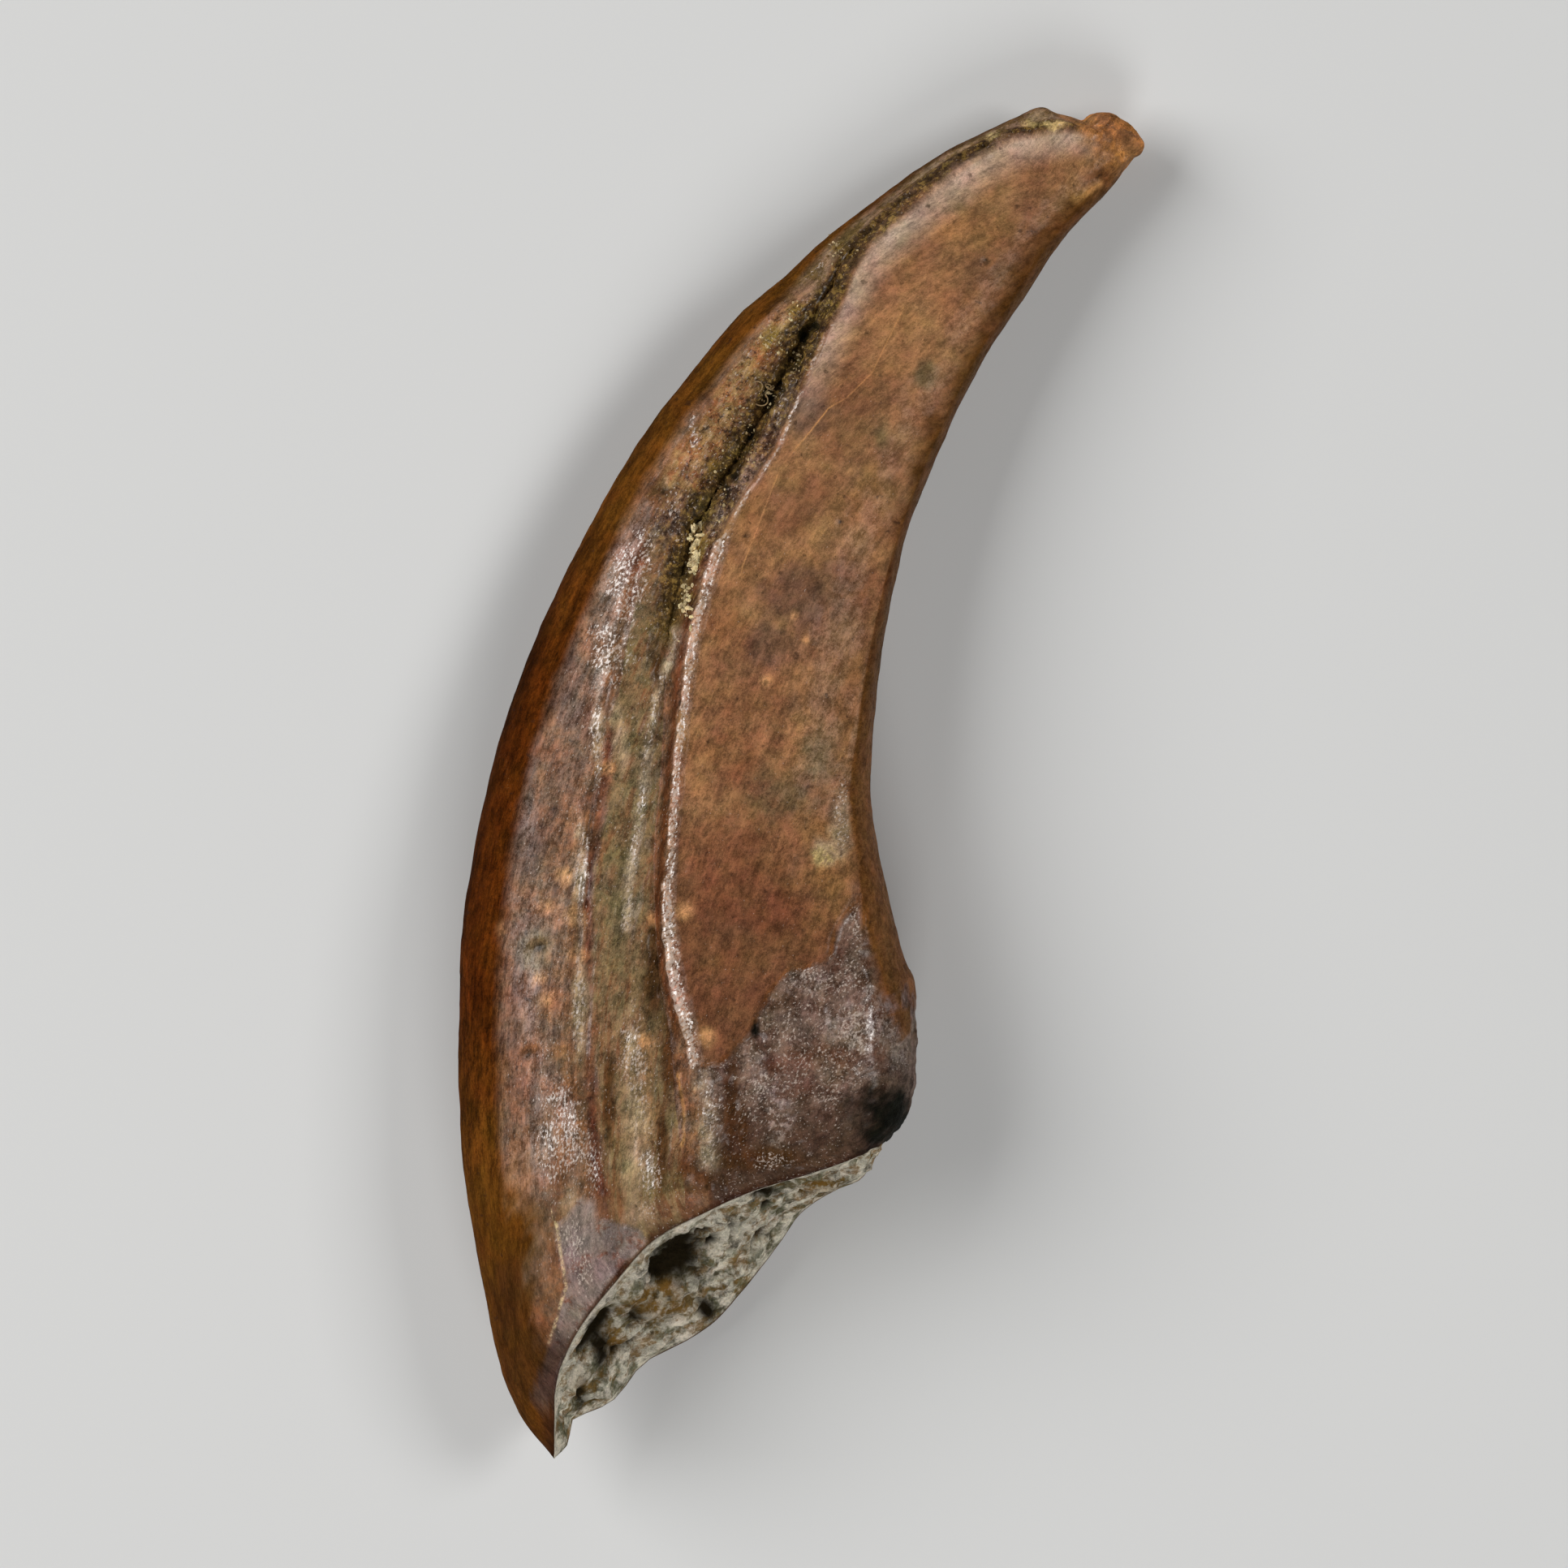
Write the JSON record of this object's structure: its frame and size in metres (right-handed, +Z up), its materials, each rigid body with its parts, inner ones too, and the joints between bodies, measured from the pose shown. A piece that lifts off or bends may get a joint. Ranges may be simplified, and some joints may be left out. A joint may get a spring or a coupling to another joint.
{
  "type": "fossil dromaeosaurus claw",
  "caption": "Curved fossil raptor claw with a blood groove, a worn blunt tip and a broken spongy base, lying on its flank.",
  "frame": {"origin": "centre of the claw's box, on the surface that it lies on", "axes": "+Y from the broken base to the worn tip, +X from the curved outer edge to the hollow inner edge, +Z up through the flank"},
  "size_m": [0.0228, 0.045, 0.0071],
  "materials": {
    "fossil_bone": "mineral-stained brown bone with a soft natural gloss, bare grey spongy bone at the broken base"
  },
  "bodies": {
    "root": {"claw": "fossil_bone"}
  },
  "joints": []
}
